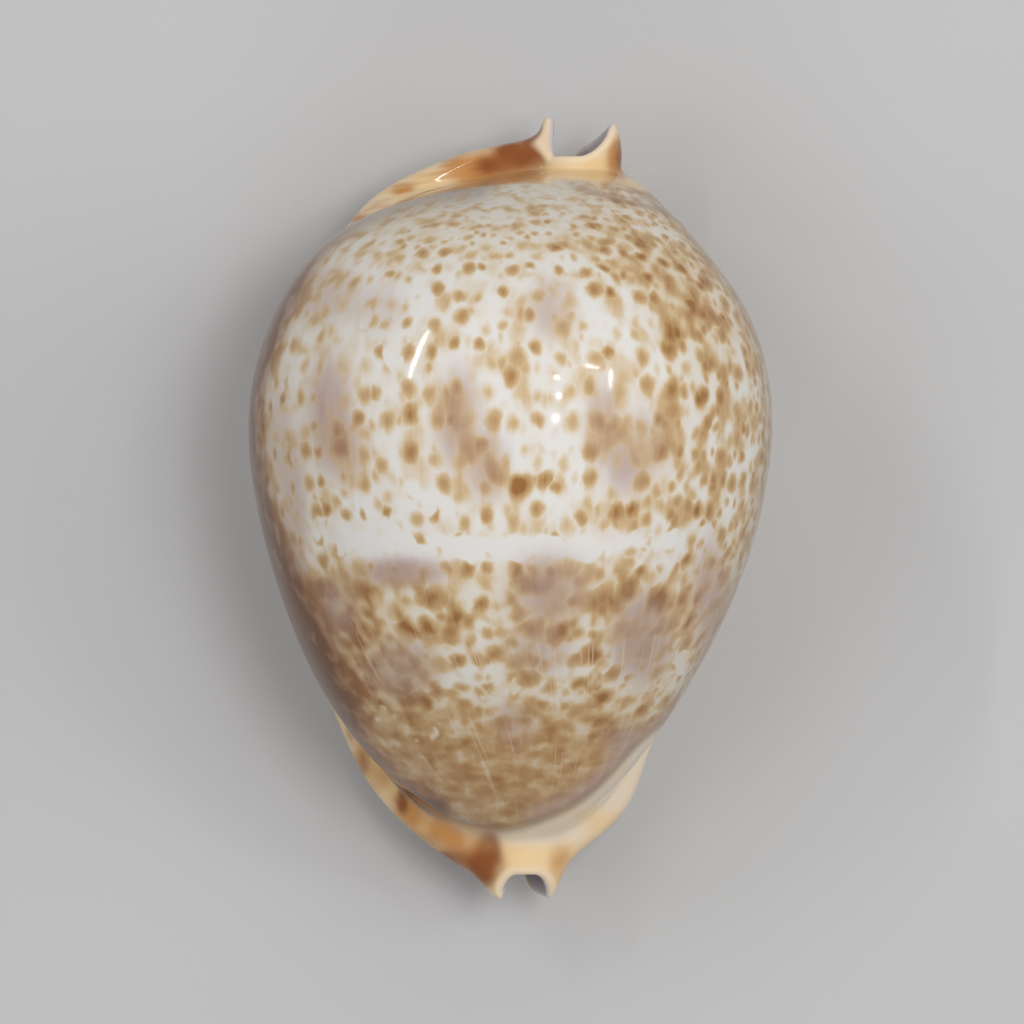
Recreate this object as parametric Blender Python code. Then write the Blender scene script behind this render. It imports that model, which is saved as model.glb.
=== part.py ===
"""A pear-shaped cowrie shell, resting on its base with its back upward.

The shell is one wall of rolled-up porcelain. Every cross-section of it is an open ring: it starts
at the outer lip on the -X side, runs over the back, and comes round under the +X side to the inner
lip. The gap that the ring leaves is the aperture, which runs along the whole base and leaves the
shell at each end through a notched canal. Teeth cross both lips.

+Z is up and +Y points to the broad hind end, where the spire is. The origin is on the surface that
the shell rests on, in the middle of its box.
"""

import bmesh
import bpy
import numpy as np

MM = 0.001

# Driving dimensions
LENGTH = 90 * MM
WIDTH = 60 * MM
HEIGHT = 50 * MM

# The inflated body: its girth is greatest a little behind the middle of the shell
GIRTH_Y = 9 * MM
HIND_REACH = 30 * MM
FORE_REACH = 48.4 * MM
WALL = 2.4 * MM  # over the back
BELLY_FLOOR = 6.4 * MM  # thickness of the base
PLAN_FALL = 2.05, 2.0, 1.7, 1.6  # its outline from above: power and root to the hind, then to the fore
RISE_FALL = 2.1, 1.9, 1.8, 1.5  # its outline from the side
BELLY_FALL = 0.5  # how slowly its underside follows the outline from above
BODY_POWER = 2.15  # how square its sections are: 2 is an ellipse
CALLUS_POWER = 2.3
LEAST_HALF = 0.2 * MM  # what is left of the body at its very ends

# How softly the parts of the surface run into each other
BODY_BLEND = 2.0 * MM
CANAL_BLEND = 1.0 * MM
GROUND_BLEND = 0.4 * MM

# The rims of the two canals: where the back stops at the notch, and the horn on each side of it,
# -X side first. A horn has a length, the shares across the canal at which it leaves the notch and
# is full, the hollowness of its edge, and how much it is cut back underneath.
HIND_RIM_Y = 40.3 * MM
HIND_GAP_ACROSS = -0.3  # where the aperture comes out, across the canal from -1 to 1
HIND_HORNS = (4.7 * MM, 0.62, 1.0, 1.7, 0.4), (3.9 * MM, 0.0, 1.0, 1.9, 0.75)
FORE_RIM_Y = -42.2 * MM
FORE_GAP_ACROSS = -0.1
FORE_HORNS = (2.8 * MM, 0.12, 0.75, 2.0, 0.4), (2.8 * MM, 0.35, 1.0, 2.0, 0.3)
HORN_RUN = 9 * MM  # the length over which the horns draw ahead of the back

# The teeth
TOOTH_PITCH = 2.6 * MM
TOOTH_COUNT = 25
FIRST_TOOTH_Y = -31 * MM
TOOTH_HEIGHT = 0.85 * MM

# How finely the wall is divided
INSIDE_POINTS = 19
OUTSIDE_POINTS = 2 * INSIDE_POINTS - 1
LIP_POINTS = 5
FALLING_STATIONS = 7
CANAL_STATIONS = 4
RAYS = 601
EVEN_TURN = 0.8  # how much the columns are spaced by angle beside by length


def spline(*points):
    """A smooth curve through (position, value) points in millimetres, as a function in metres."""
    at, value = np.array(points, float).T * MM
    step, rise = np.diff(at), np.diff(value)
    matrix, side = np.eye(len(at)), np.zeros(len(at))
    for i in range(1, len(at) - 1):
        matrix[i, i - 1 : i + 2] = step[i - 1], 2 * (step[i - 1] + step[i]), step[i]
        side[i] = 6 * (rise[i] / step[i] - rise[i - 1] / step[i - 1])
    bend = np.linalg.solve(matrix, side)

    def curve(x):
        x = np.clip(x, at[0], at[-1])
        i = np.clip(np.searchsorted(at, x) - 1, 0, len(step) - 1)
        left, right = (at[i + 1] - x) / step[i], (x - at[i]) / step[i]
        sag = (left**3 - left) * bend[i] + (right**3 - right) * bend[i + 1]
        return left * value[i] + right * value[i + 1] + sag * step[i] ** 2 / 6

    return curve


# The line from canal to canal that every cross-section is drawn around
AXIS_X = spline(
    (-46, 1.3), (-38, 0.9), (-28, -1.4), (-12, -4.4), (5, -5.2), (20, -3.8), (32, 2.6), (38, 7.0),
    (42, 8.0), (46, 8.0),
)
AXIS_Z = spline((-46, 10.2), (-38, 9.0), (-20, 9.0), (20, 9.4), (34, 10.4), (40, 11.6), (46, 13.2))

# The body: where its widest line runs
BODY_X = spline(
    (-40, 0.9), (-28, -0.6), (-10, -0.3), (10, 0.0), (25, 0.0), (33, 1.0), (37, 4.4), (39, 7.3),
)
BODY_Z = spline(
    (-40, 9.0), (-34, 12.6), (-22, 17.6), (-6, 20.8), (10, 21.5), (25, 21.5), (33, 18.5), (37, 14.0),
    (39, 11.3),
)

# The base callus: its edges seen from above, the height of its edge, and half its thickness
CALLUS_LEFT = spline(
    (-46, -0.4), (-43.3, -3.0), (-40.6, -6.9), (-36, -12.8), (-31.4, -16.6), (-24.5, -20.0),
    (-12, -24.4), (4, -26.2), (20, -24.2), (28, -21.6), (33, -18.4), (37.7, -12.9), (40, -7.8),
    (41.3, -3.6), (42.3, 1.4), (44, 4.1), (46, 5.2),
)
CALLUS_RIGHT = spline(
    (-46, 3.4), (-43.3, 5.0), (-40.6, 6.8), (-38.3, 9.6), (-36, 12.2), (-33.7, 13.9), (-31, 15.0),
    (-26, 16.8), (-14, 20.6), (4, 24.6), (18, 24.6), (28, 21.2), (33.1, 17.6), (36.4, 14.4),
    (38.2, 12.4), (42, 11.4), (46, 10.6),
)
CALLUS_Z = spline(
    (-46, 11.0), (-36, 8.0), (-26, 6.0), (0, 5.4), (22, 6.0), (34, 8.6), (42, 11.4), (46, 13.0),
)
CALLUS_HALF = spline(
    (-46, 2.4), (-40, 4.2), (-34, 5.6), (-26, 6.3), (0, 6.6), (22, 6.5), (34, 5.4), (40, 4.2), (46, 2.4),
)
CANAL_RADIUS = spline(
    (-46, 2.6), (-43, 3.9), (-40, 4.6), (-36, 5.0), (20, 5.0), (34, 5.2), (40, 4.8), (43, 4.1),
    (45, 3.5),
)
CANAL_BORE = spline(
    (-46, 2.1), (-43, 3.1), (-37, 3.6), (-28, 5.6), (-16, 5.8), (4, 5.2), (20, 4.6), (32, 4.0),
    (40, 3.6), (43, 3.3), (45, 2.8),
)

# The aperture: its middle line, half its width between the lips, and how round the lips are
GAP_X = spline(
    (-46, 1.5), (-43.4, 0.7), (-41, 0.3), (-36, -0.6), (-28, -2.8), (-12, -5.0), (5, -5.6), (20, -4.2),
    (32, 1.4), (38, 5.0), (41, 6.1), (43, 7.1), (46, 9.0),
)
GAP_HALF = spline(
    (-46, 2.2), (-43.4, 1.3), (-41, 1.1), (-34, 2.8), (-25, 3.8), (-10, 3.3), (8, 2.7), (24, 2.4),
    (34, 2.0), (41, 1.4), (43, 2.3), (46, 3.8),
)
LIP_ROUND = spline(
    (-46, 0.5), (-40, 0.9), (-32, 2.2), (-20, 3.0), (0, 3.2), (20, 3.0), (32, 2.0), (39, 0.8), (46, 0.5),
)
LIP_INSIDE = 0.4  # how far the rounding draws back on the inside, as a share of LIP_ROUND


def smooth_max(a, b, blend):
    return 0.5 * (a + b + np.sqrt((a - b) ** 2 + blend**2))


def smooth_step(x, low, high):
    share = np.clip((x - low) / (high - low), 0, 1)
    return share * share * (3 - 2 * share)


def fullness(y, hind_power, hind_root, fore_power, fore_root):
    """How much of its greatest girth the body has at y, from 1 down to 0 at each end."""
    hind = np.clip((y - GIRTH_Y) / HIND_REACH, 0, 1)
    fore = np.clip((GIRTH_Y - y) / FORE_REACH, 0, 1)
    return (1 - hind**hind_power) ** (1 / hind_root) * (1 - fore**fore_power) ** (1 / fore_root)


def oval_reach(y, angle, centre_x, centre_z, half_width, up, down, power):
    """How far a ray from the axis runs inside an oval whose upper and lower halves may differ."""
    start_x, start_z = AXIS_X(y) - centre_x, AXIS_Z(y) - centre_z
    low, high = np.zeros_like(angle + y), np.full_like(angle + y, LENGTH)
    for _ in range(30):
        middle = (low + high) / 2
        x = start_x + middle * np.cos(angle)
        z = start_z + middle * np.sin(angle)
        height = np.where(z > 0, up, down)
        inside = np.abs(x / half_width) ** power + np.abs(z / height) ** power < 1
        low, high = np.where(inside, middle, low), np.where(inside, high, middle)
    return low


def body_reach(y, angle, wall=0.0, floor=0.0):
    """The inflated body, or with a wall and a floor taken off it the hollow inside it."""
    plan, rise = fullness(y, *PLAN_FALL), fullness(y, *RISE_FALL)
    half_width = np.maximum(WIDTH / 2 * plan - wall, LEAST_HALF)
    up = np.maximum((HEIGHT - BODY_Z(GIRTH_Y)) * rise - wall, LEAST_HALF)
    down = np.maximum(BODY_Z(y) * plan**BELLY_FALL - floor, LEAST_HALF)
    return oval_reach(y, angle, BODY_X(y), BODY_Z(y), half_width, up, down, BODY_POWER)


def rest_on_ground(z):
    """Flattens what would reach below the ground, with a short soft bend at the edge of the flat."""
    bend = (z + GROUND_BLEND) ** 2 / (4 * GROUND_BLEND)
    return np.where(z > GROUND_BLEND, z, np.where(z < -GROUND_BLEND, 0.0, bend))


def horn_length(angle, gap_across, horns):
    """How far the rim of a canal runs on past its notch, at an angle round the canal."""
    longest = np.zeros_like(angle)
    for side, (length, start, full, hollow, cut_back) in zip((-1, 1), horns):
        across = side * np.cos(angle)
        above = np.clip((across - start) / (full - start), 0, 1) ** hollow
        below = np.clip(1 - cut_back * (1 - across), 0, 1) * (across > side * gap_across)
        longest = np.maximum(longest, length * np.where(np.sin(angle) > 0, above, below))
    return longest


def warp(station, angle):
    """The y of a point: at the canals the sides of a section run on ahead of its top."""
    hind_share = smooth_step(station, HIND_RIM_Y - HORN_RUN, HIND_RIM_Y)
    fore_share = smooth_step(-station, -FORE_RIM_Y - HORN_RUN, -FORE_RIM_Y)
    hind = horn_length(angle, HIND_GAP_ACROSS, HIND_HORNS)
    fore = horn_length(angle, FORE_GAP_ACROSS, FORE_HORNS)
    return station + hind * hind_share - fore * fore_share


def outer_point(station, angle):
    """The outside of the shell."""
    y = warp(station, angle)
    left, right = CALLUS_LEFT(y), CALLUS_RIGHT(y)
    callus = oval_reach(y, angle, (left + right) / 2, CALLUS_Z(y), (right - left) / 2,
                        CALLUS_HALF(y), CALLUS_HALF(y), CALLUS_POWER)
    radius = smooth_max(callus, CANAL_RADIUS(y), CANAL_BLEND)
    radius = smooth_max(radius, body_reach(y, angle), BODY_BLEND)
    x = AXIS_X(y) + radius * np.cos(angle)
    z = AXIS_Z(y) + radius * np.sin(angle)
    return np.stack([x, y, rest_on_ground(z)], axis=-1)


def inner_point(station, angle):
    """The inside of the wall: the hollow of the body, run out into a bore at each canal."""
    y = warp(station, angle)
    radius = smooth_max(body_reach(y, angle, WALL, BELLY_FLOOR), CANAL_BORE(y), CANAL_BLEND)
    x = AXIS_X(y) + radius * np.cos(angle)
    z = AXIS_Z(y) + radius * np.sin(angle)
    return np.stack([x, y, z], axis=-1)


def lip_angle(surface, station, side):
    """The angle at which a surface of the wall ends beside the aperture: side -1 is the outer lip."""
    drawn_back = LIP_INSIDE if surface is inner_point else 1.0
    angle = np.radians(-90 + 25 * side)  # a first guess, near enough to settle from
    for _ in range(12):
        x, y, z = np.moveaxis(surface(station, np.array(angle)), -1, 0)
        edge = GAP_X(y) + side * (GAP_HALF(y) + drawn_back * LIP_ROUND(y))
        angle = np.arctan2(z - AXIS_Z(y), edge - AXIS_X(y))
    return float(angle)


def column_shares(surface, count):
    """Where the columns stand between the two lips, spaced by the run of the section at the girth."""
    start, end = lip_angle(surface, GIRTH_Y, -1), lip_angle(surface, GIRTH_Y, 1) - 2 * np.pi
    angle = np.linspace(start, end, RAYS)
    step = np.linalg.norm(np.diff(surface(GIRTH_Y, angle), axis=0), axis=1)
    share = np.concatenate([[0.0], np.cumsum(step / step.sum() + EVEN_TURN / (RAYS - 1))])
    return np.interp(np.linspace(0, share[-1], count), share, np.linspace(0, 1, RAYS))


def arc(surface, station, shares):
    """Points of a section from the outer lip over the top to the inner lip."""
    start, end = lip_angle(surface, station, -1), lip_angle(surface, station, 1)
    if end > start:
        end -= 2 * np.pi
    return surface(station, start + (end - start) * shares)


def lip(start, end, side, tooth):
    """The rounded edge of the wall from one surface to the other, and how much of a tooth is on it."""
    y = (start[1] + end[1]) / 2
    turn = np.linspace(0, np.pi, LIP_POINTS + 2)[1:-1, None]
    bulge = np.array([-side * LIP_ROUND(y) * (1 + LIP_INSIDE) / 2, 0, 0])
    points = start + (end - start) * (1 - np.cos(turn)) / 2 + bulge * np.sin(turn)
    facing = np.concatenate([-side * np.sin(turn), 0 * turn, -np.cos(turn)], axis=1)
    points += facing * tooth * np.sin(turn)
    points[:, 2] = np.maximum(points[:, 2], 0)
    return points


def ring(station, tooth, outer_shares, inner_shares):
    """One closed section of the wall: outside, inner lip, inside and back by way of the outer lip."""
    outside = arc(outer_point, station, outer_shares)
    inside = arc(inner_point, station, inner_shares)[::-1]
    inner_lip = lip(outside[-1], inside[0], 1, tooth)
    outer_lip = lip(outside[0], inside[-1], -1, tooth)[::-1]
    return np.concatenate([outside, inner_lip, inside, outer_lip])


def end_stations(start, body_end, rim):
    """Stations from the teeth to a rim, closest together where the back falls away to the canal."""
    falling = start + (body_end - start) * np.sin(np.linspace(0, np.pi / 2, FALLING_STATIONS + 1)[1:])
    return np.concatenate([falling, np.linspace(body_end, rim, CANAL_STATIONS + 1)[1:]])


def stations():
    """Where the sections stand, and the height of the tooth on each: every other one is a tooth."""
    toothed = FIRST_TOOTH_Y + TOOTH_PITCH / 2 * np.arange(-1, 2 * TOOTH_COUNT)
    fore = end_stations(toothed[0], GIRTH_Y - FORE_REACH, FORE_RIM_Y)[::-1]
    hind = end_stations(toothed[-1], GIRTH_Y + HIND_REACH, HIND_RIM_Y)
    places = np.concatenate([fore, toothed, hind])
    teeth = np.zeros(len(places))
    teeth[len(fore) + 1 : len(fore) + 2 * TOOTH_COUNT : 2] = TOOTH_HEIGHT
    return places, teeth


def rim_faces(loop):
    """The faces that close the wall along a rim: three corners on the inside meet five outside."""
    outside = loop[:OUTSIDE_POINTS]
    inner_lip = loop[OUTSIDE_POINTS : OUTSIDE_POINTS + LIP_POINTS]
    inside = loop[OUTSIDE_POINTS + LIP_POINTS :][:INSIDE_POINTS][::-1]
    outer_lip = loop[-LIP_POINTS:]
    faces = [[outside[-1], *inner_lip, inside[-1]], [inside[0], *outer_lip, outside[0]]]
    for i in range(INSIDE_POINTS - 1):
        faces.append([outside[2 * i], outside[2 * i + 1], inside[i]])
        faces.append([outside[2 * i + 1], outside[2 * i + 2], inside[i + 1], inside[i]])
    return faces


def make_wall():
    """Lofts the wall through its sections and closes it along the rim of each canal."""
    mesh = bmesh.new()
    outer_shares = column_shares(outer_point, OUTSIDE_POINTS)
    inner_shares = column_shares(inner_point, INSIDE_POINTS)
    loops = []
    for place, tooth in zip(*stations()):
        section = ring(place, tooth, outer_shares, inner_shares)
        loops.append([mesh.verts.new(point) for point in section])
    for near, far in zip(loops, loops[1:]):
        for i in range(len(near)):
            mesh.faces.new([near[i - 1], near[i], far[i], far[i - 1]])
    for corners in rim_faces(loops[0]) + rim_faces(loops[-1]):
        mesh.faces.new(corners)
    bmesh.ops.triangulate(mesh, faces=mesh.faces)
    bmesh.ops.recalc_face_normals(mesh, faces=mesh.faces)
    return mesh


def porcelain():
    """Glossy cowrie enamel, at the middle of its colours."""
    material = bpy.data.materials.new("shell_enamel")
    material.use_nodes = True
    shader = material.node_tree.nodes["Principled BSDF"]
    shader.inputs["Base Color"].default_value = (0.66, 0.55, 0.42, 1.0)
    shader.inputs["Metallic"].default_value = 0.0
    shader.inputs["Roughness"].default_value = 0.12
    return material


def make_shell(collection):
    wall = make_wall()
    mesh = bpy.data.meshes.new("shell")
    wall.to_mesh(mesh)
    wall.free()
    mesh.shade_smooth()
    mesh.set_sharp_from_angle(angle=np.radians(50))
    mesh.materials.append(porcelain())
    shell = bpy.data.objects.new("shell", mesh)
    collection.objects.link(shell)


def main():
    for thing in list(bpy.data.objects):
        bpy.data.objects.remove(thing, do_unlink=True)
    collection = bpy.data.collections.new("cowrie_shell")
    bpy.context.scene.collection.children.link(collection)
    make_shell(collection)


main()
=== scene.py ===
import bpy
import numpy as np
from mathutils import Matrix, Vector


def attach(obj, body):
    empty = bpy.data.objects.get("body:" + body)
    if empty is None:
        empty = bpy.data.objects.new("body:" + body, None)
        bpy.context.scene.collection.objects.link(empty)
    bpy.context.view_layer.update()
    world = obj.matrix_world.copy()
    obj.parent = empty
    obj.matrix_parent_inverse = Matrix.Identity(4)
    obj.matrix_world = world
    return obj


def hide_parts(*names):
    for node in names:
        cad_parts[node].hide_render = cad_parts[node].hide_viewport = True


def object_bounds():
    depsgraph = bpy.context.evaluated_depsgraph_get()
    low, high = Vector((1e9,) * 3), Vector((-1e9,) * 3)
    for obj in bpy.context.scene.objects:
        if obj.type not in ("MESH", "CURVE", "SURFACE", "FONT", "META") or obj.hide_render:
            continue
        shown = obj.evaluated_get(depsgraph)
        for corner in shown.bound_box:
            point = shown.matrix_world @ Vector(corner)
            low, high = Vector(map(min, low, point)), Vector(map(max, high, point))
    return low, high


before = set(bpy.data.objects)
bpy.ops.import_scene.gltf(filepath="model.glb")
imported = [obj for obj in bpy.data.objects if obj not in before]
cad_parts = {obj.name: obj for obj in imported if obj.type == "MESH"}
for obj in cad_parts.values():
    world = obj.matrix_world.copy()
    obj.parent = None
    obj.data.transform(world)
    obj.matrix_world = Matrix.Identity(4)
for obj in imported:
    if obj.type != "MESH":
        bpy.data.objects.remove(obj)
cadBox = [list(corner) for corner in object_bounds()]
mm = 0.001
print("frame loaded")

# what is easy to change about the shell's wall, in mm where it is a length
wall = {
    "girth": 9.0,  # where the body is widest, along the shell
    "hindReach": 30.0,  # from the girth to the ends of the body
    "foreReach": 48.4,
    "plan": (2.05, 2.0, 1.7, 1.6),  # how full the body is from above: powers and roots, hind end first
    "rise": (2.1, 1.9, 1.8, 1.5),  # and from the side
    "bellyFall": 0.5,  # how slowly its underside follows its outline from above
    "bodyPower": 2.15,  # 2 is an ellipse, more is squarer
    "flangePower": 2.3,
    "canalBlend": 1.0,  # how softly the canals and the body run into the flange
    "bodyBlend": 1.5,
    "leastHalf": 0.2,
    "backThickness": 2.4,
    "baseThickness": 6.4,
    "hindRim": 40.3,  # where the back stops at each canal
    "foreRim": -42.2,
    "hindHorns": ((4.7, 0.62, 1.0, 1.7, 0.4), (3.9, 0.0, 1.0, 1.9, 0.75)),  # outer-lip side first
    "foreHorns": ((2.8, 0.12, 0.75, 2.0, 0.4), (2.8, 0.35, 1.0, 2.0, 0.3)),
    "hindGapAcross": -0.3,  # where the aperture comes out, across the canal from -1 to 1
    "foreGapAcross": -0.1,
    "hornRun": 9.0,
    "rimRound": 0.75,
    "groundSoft": 0.4,
    "skinSpan": (30.0, 41.0, 28.0),  # the oval that the spots are laid out on
    "skinMiddle": (2.0, 22.0),
    "within": 0.09,  # how much lower and narrower than the solid, so that it stays inside its box
    "foldDepth": 0.35,  # the step where the back's glaze laps over the spire
    "foldRise": (-0.25, 0.45),  # where it starts and is full, past the fold
    "foldFade": (1.2, 4.5),
    "foldTop": (0.1, 0.4),  # and how far up the shell it goes
    "columns": 128,  # on the outside, and as many on the inside
    "columnsLip": 13,
    "middleRings": 240,
    "fallRings": 26,  # where the body falls away to each end
    "foreFall": 7.0,
    "hindFall": 6.0,
    "canalRings": (8, 4),  # fore end first
    "roundRings": 7,
    "rays": 601,
    "evenTurn": 0.8,
    "searchReach": 90.0,
    "searchSteps": 28,
    "lipStart": 25.0,  # degrees from straight down
    "lipSteps": 12,
    "mergeWithin": 0.002,  # points this close become one
}

teeth = {
    "pitch": 2.6,
    "count": 25,
    "first": -31.0,
    "height": 0.85,
    "sharpness": 1.6,
    "unevenness": 0.22,
    "unevenTurns": (2.4, 1.7),
    "firstFade": (-1.5, 0.5),  # in teeth
    "lastFade": (-2.5, 0.0),
}


def spline(*points):  # a smooth curve through (place, value) points
    place, value = np.array(points, float).T
    step, rise = np.diff(place), np.diff(value)
    matrix, side = np.eye(len(place)), np.zeros(len(place))
    for i in range(1, len(place) - 1):
        matrix[i, i - 1 : i + 2] = step[i - 1], 2 * (step[i - 1] + step[i]), step[i]
        side[i] = 6 * (rise[i] / step[i] - rise[i - 1] / step[i - 1])
    bend = np.linalg.solve(matrix, side)

    def curve(x):
        x = np.clip(x, place[0], place[-1])
        i = np.clip(np.searchsorted(place, x) - 1, 0, len(step) - 1)
        left, right = (place[i + 1] - x) / step[i], (x - place[i]) / step[i]
        sag = (left**3 - left) * bend[i] + (right**3 - right) * bend[i + 1]
        return left * value[i] + right * value[i + 1] + sag * step[i] ** 2 / 6

    return curve


# the shell's lines, all as (place along the shell, value) in mm; the same as the solid's
lines = {
    "axisX": spline((-46, 1.3), (-38, 0.9), (-28, -1.4), (-12, -4.4), (5, -5.2), (20, -3.8), (32, 2.6),
                    (38, 7.0), (42, 8.0), (46, 8.0)),
    "axisZ": spline((-46, 10.2), (-38, 9.0), (-20, 9.0), (20, 9.4), (34, 10.4), (40, 11.6), (46, 13.2)),
    "bodyX": spline((-40, 0.9), (-28, -0.6), (-10, -0.3), (10, 0.0), (25, 0.0), (33, 1.0), (37, 4.4),
                    (39, 7.3)),
    "bodyZ": spline((-40, 9.0), (-34, 12.6), (-22, 17.6), (-6, 20.8), (10, 21.5), (25, 21.5), (33, 18.5),
                    (37, 14.0), (39, 11.3)),
    "callusLeft": spline((-46, -0.4), (-43.3, -3.0), (-40.6, -6.9), (-36, -12.8), (-31.4, -16.6),
                         (-24.5, -20.0), (-12, -24.4), (4, -26.2), (20, -24.2), (28, -21.6), (33, -18.4),
                         (37.7, -12.9), (40, -7.8), (41.3, -3.6), (42.3, 1.4), (44, 4.1), (46, 5.2)),
    "callusRight": spline((-46, 3.4), (-43.3, 5.0), (-40.6, 6.8), (-38.3, 9.6), (-36, 12.2), (-33.7, 13.9),
                          (-31, 15.0), (-26, 16.8), (-14, 20.6), (4, 24.6), (18, 24.6), (28, 21.2),
                          (33.1, 17.6), (36.4, 14.4), (38.2, 12.4), (42, 11.4), (46, 10.6)),
    "callusZ": spline((-46, 11.0), (-36, 8.0), (-26, 6.0), (0, 5.4), (22, 6.0), (34, 8.6), (42, 11.4),
                      (46, 13.0)),
    "callusHalf": spline((-46, 2.4), (-40, 4.2), (-34, 5.6), (-26, 6.3), (0, 6.6), (22, 6.5), (34, 5.4),
                         (40, 4.2), (46, 2.4)),
    "canalRadius": spline((-46, 2.6), (-43, 3.9), (-40, 4.6), (-36, 5.0), (20, 5.0), (34, 5.2), (40, 4.8),
                          (43, 4.1), (45, 3.5)),
    "canalBore": spline((-46, 2.1), (-43, 3.1), (-37, 3.6), (-28, 5.6), (-16, 5.8), (4, 5.2), (20, 4.6),
                        (32, 4.0), (40, 3.6), (43, 3.3), (45, 2.8)),
    "gapX": spline((-46, 1.5), (-43.4, 0.7), (-41, 0.3), (-36, -0.6), (-28, -2.8), (-12, -5.0), (5, -5.6),
                   (20, -4.2), (32, 1.4), (38, 5.0), (41, 6.1), (43, 7.1), (46, 9.0)),
    "gapHalf": spline((-46, 2.2), (-43.4, 1.3), (-41, 1.1), (-34, 2.8), (-25, 3.8), (-10, 3.3), (8, 2.7),
                      (24, 2.4), (34, 2.0), (41, 1.4), (43, 2.3), (46, 3.8)),
    "lipRound": spline((-46, 0.5), (-40, 0.9), (-32, 2.2), (-20, 3.0), (0, 3.2), (20, 3.0), (32, 2.0),
                       (39, 0.8), (46, 0.5)),
    "lipInside": 0.4,  # how far the lip's rounding draws back on the inside
    # seen from above, across the shell
    "fold": spline((-30, 24.0), (-18.5, 32.5), (-9.3, 36.5), (-4.7, 37.3), (5.7, 36.6), (14, 34.4),
                   (21.8, 31.4), (26, 27.0), (30, 22.0)),
    "spoutLine": spline((-30, 24.0), (-18.5, 32.5), (-9.3, 36.2), (-4.7, 36.6), (0.0, 36.9), (6.0, 37.2),
                        (11.0, 37.0), (16.0, 36.0), (30, 30.0)),  # where the back's glaze ends, hind end
    "saddleLine": spline((-30, -20.0), (-15.6, -30.2), (-12.1, -33.7), (-7.0, -35.7), (0.0, -36.8),
                         (4.0, -35.6), (9.2, -32.6), (12.6, -29.1), (14.9, -26.6), (18.0, -24.6), (23, -23.6),
                         (30, -23.4)),  # and at the fore end
}


def smoothMax(a, b, blend):
    return 0.5 * (a + b + np.sqrt((a - b) ** 2 + blend**2))


def smoothStep(x, low, high):
    share = np.clip((x - low) / (high - low), 0, 1)
    return share * share * (3 - 2 * share)


def fullness(y, hindPower, hindRoot, forePower, foreRoot):  # 1 at the girth, 0 at the body's ends
    hind = np.clip((y - wall["girth"]) / wall["hindReach"], 0, 1)
    fore = np.clip((wall["girth"] - y) / wall["foreReach"], 0, 1)
    return (1 - hind**hindPower) ** (1 / hindRoot) * (1 - fore**forePower) ** (1 / foreRoot)


def ovalReach(y, angle, centreX, centreZ, halfWidth, up, down, power):  # a ray's run inside an oval
    startX, startZ = lines["axisX"](y) - centreX, lines["axisZ"](y) - centreZ
    low, high = np.zeros_like(angle + y), np.full_like(angle + y, wall["searchReach"])
    for _ in range(wall["searchSteps"]):
        middle = (low + high) / 2
        x, z = startX + middle * np.cos(angle), startZ + middle * np.sin(angle)
        height = np.where(z > 0, up, down)
        inside = np.abs(x / halfWidth) ** power + np.abs(z / height) ** power < 1
        low, high = np.where(inside, middle, low), np.where(inside, high, middle)
    return low


def bodyReach(y, angle, thickness=0.0, floor=0.0):
    width, height = (cadBox[1][0] - cadBox[0][0]) / mm, (cadBox[1][2] - cadBox[0][2]) / mm
    plan, rise, least = fullness(y, *wall["plan"]), fullness(y, *wall["rise"]), wall["leastHalf"]
    halfWidth = np.maximum((width / 2 - wall["within"]) * plan - thickness, least)
    up = np.maximum((height - wall["within"] - lines["bodyZ"](wall["girth"])) * rise - thickness, least)
    down = np.maximum(lines["bodyZ"](y) * plan ** wall["bellyFall"] - floor, least)
    return ovalReach(y, angle, lines["bodyX"](y), lines["bodyZ"](y), halfWidth, up, down, wall["bodyPower"])


def flangeReach(y, angle):
    left, right, half = lines["callusLeft"](y), lines["callusRight"](y), lines["callusHalf"](y)
    middle, halfWidth = (left + right) / 2, (right - left) / 2
    return ovalReach(y, angle, middle, lines["callusZ"](y), halfWidth, half, half, wall["flangePower"])


def hornLength(angle, gapAcross, horns):  # how far the rim of a canal runs on past its notch
    longest = np.zeros_like(angle)
    for side, (length, start, full, hollow, cutBack) in zip((-1, 1), horns):
        across = side * np.cos(angle)
        above = np.clip((across - start) / (full - start), 0, 1) ** hollow
        below = np.clip(1 - cutBack * (1 - across), 0, 1) * (across > side * gapAcross)
        longest = np.maximum(longest, length * np.where(np.sin(angle) > 0, above, below))
    return longest


def warp(station, angle):  # at the canals the sides of a ring run on ahead of its top
    hindShare = smoothStep(station, wall["hindRim"] - wall["hornRun"], wall["hindRim"])
    foreShare = smoothStep(-station, -wall["foreRim"] - wall["hornRun"], -wall["foreRim"])
    hind = hornLength(angle, wall["hindGapAcross"], wall["hindHorns"])
    fore = hornLength(angle, wall["foreGapAcross"], wall["foreHorns"])
    return station + hind * hindShare - fore * foreShare


def placed(y, angle, radius):
    x = lines["axisX"](y) + radius * np.cos(angle)
    z = lines["axisZ"](y) + radius * np.sin(angle)
    return np.stack([x + 0 * z, y + 0 * z, z], axis=-1)


def outerPoint(station, angle):
    y = warp(station, angle)
    radius = smoothMax(flangeReach(y, angle), lines["canalRadius"](y), wall["canalBlend"])
    radius = smoothMax(radius, bodyReach(y, angle), wall["bodyBlend"])
    point = placed(y, angle, radius)
    beyond = y - lines["fold"](point[..., 0])
    step = smoothStep(beyond, *wall["foldRise"]) * (1 - smoothStep(beyond, *wall["foldFade"]))
    step = step * smoothStep(np.sin(angle), *wall["foldTop"])
    point = placed(y, angle, radius - wall["foldDepth"] * step)
    z, soft = point[..., 2], wall["groundSoft"]
    point[..., 2] = np.where(z > soft, z, np.where(z < -soft, 0.0, (z + soft) ** 2 / (4 * soft)))
    return point


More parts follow.
